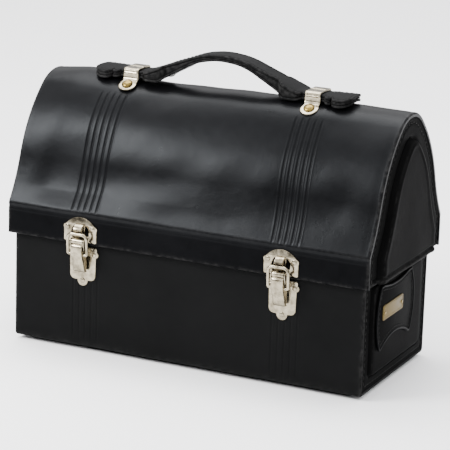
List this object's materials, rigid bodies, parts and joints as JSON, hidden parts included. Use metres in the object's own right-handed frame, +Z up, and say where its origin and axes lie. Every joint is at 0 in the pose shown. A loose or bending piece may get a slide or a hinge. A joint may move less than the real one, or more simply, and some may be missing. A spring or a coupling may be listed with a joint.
{
  "type": "dome-top carrying box",
  "caption": "Leather-covered box with a hinged bow-top lid, front draw latches and a strap handle that runs through metal loops.",
  "frame": {"origin": "middle of the sole's underside, the face that the box stands on", "axes": "+X along the box's length towards the end with the name patch, -Y towards the front with the latches, +Z up"},
  "size_m": [0.268, 0.1338, 0.2005],
  "materials": {
    "smooth_leather": "glossy black smooth hide",
    "matte_leather": "matte black hide",
    "board": "pressed fibreboard",
    "lining": "woven cloth",
    "nickel": "polished nickel plate, slightly warm",
    "brass": "aged brass"
  },
  "bodies": {
    "base": {"base_wrap": "matte_leather", "base_end_left": "matte_leather", "base_end_right": "matte_leather", "base_shell": "board", "base_lining": "lining", "base_sole": "matte_leather", "label_patch": "matte_leather", "label_plate": "brass", "label_pins": "brass", "latch_plate_left": "nickel", "latch_plate_right": "nickel", "latch_plate_rivets": "nickel", "lever_pin_left": "nickel", "lever_pin_right": "nickel", "hinge_base_leaf_left": "nickel", "hinge_base_leaf_right": "nickel", "hinge_pin_left": "nickel", "hinge_pin_right": "nickel", "hinge_base_rivets": "nickel"},
    "lid": {"lid_wrap": "smooth_leather", "lid_end_left": "matte_leather", "lid_end_right": "matte_leather", "lid_shell": "board", "lid_lining": "lining", "catch_plate_left": "nickel", "catch_plate_right": "nickel", "catch_rivets": "nickel", "handle_loop_left": "nickel", "handle_loop_right": "nickel", "handle_loop_rivets": "brass", "hinge_lid_leaf_left": "nickel", "hinge_lid_leaf_right": "nickel", "hinge_lid_rivets": "nickel"},
    "lever_left": {"lever_left": "nickel"},
    "lever_right": {"lever_right": "nickel"},
    "bail_left": {"bail_left": "nickel"},
    "bail_right": {"bail_right": "nickel"},
    "handle": {"handle_top": "matte_leather", "handle_core": "matte_leather", "handle_bottom": "matte_leather"}
  },
  "joints": [
    {"name": "lid_hinge", "type": "hinge", "parent": "base", "child": "lid", "pos_m": [0, 0.0604, 0.078], "axis": [-1, 0, 0], "range_deg": [0, 100]},
    {"name": "lever_left_hinge", "type": "hinge", "parent": "base", "child": "lever_left", "pos_m": [-0.0745, -0.063, 0.0777], "axis": [-1, 0, 0], "range_deg": [0, 135]},
    {"name": "lever_right_hinge", "type": "hinge", "parent": "base", "child": "lever_right", "pos_m": [0.0705, -0.063, 0.0777], "axis": [-1, 0, 0], "range_deg": [0, 135]},
    {"name": "bail_left_hinge", "type": "hinge", "parent": "lever_left", "child": "bail_left", "pos_m": [-0.0745, -0.0633, 0.069], "axis": [-1, 0, 0], "range_deg": [-162, 0]},
    {"name": "bail_right_hinge", "type": "hinge", "parent": "lever_right", "child": "bail_right", "pos_m": [0.0705, -0.0633, 0.069], "axis": [-1, 0, 0], "range_deg": [-162, 0]},
    {"name": "handle_slide", "type": "slide", "parent": "lid", "child": "handle", "axis": [1, 0, 0], "range_m": [-0.0023, 0.0023]}
  ],
  "couplings": [
    {"joint": "bail_left_hinge", "follows": "lever_left_hinge", "ratio": -1.2},
    {"joint": "bail_right_hinge", "follows": "lever_right_hinge", "ratio": -1.2}
  ]
}
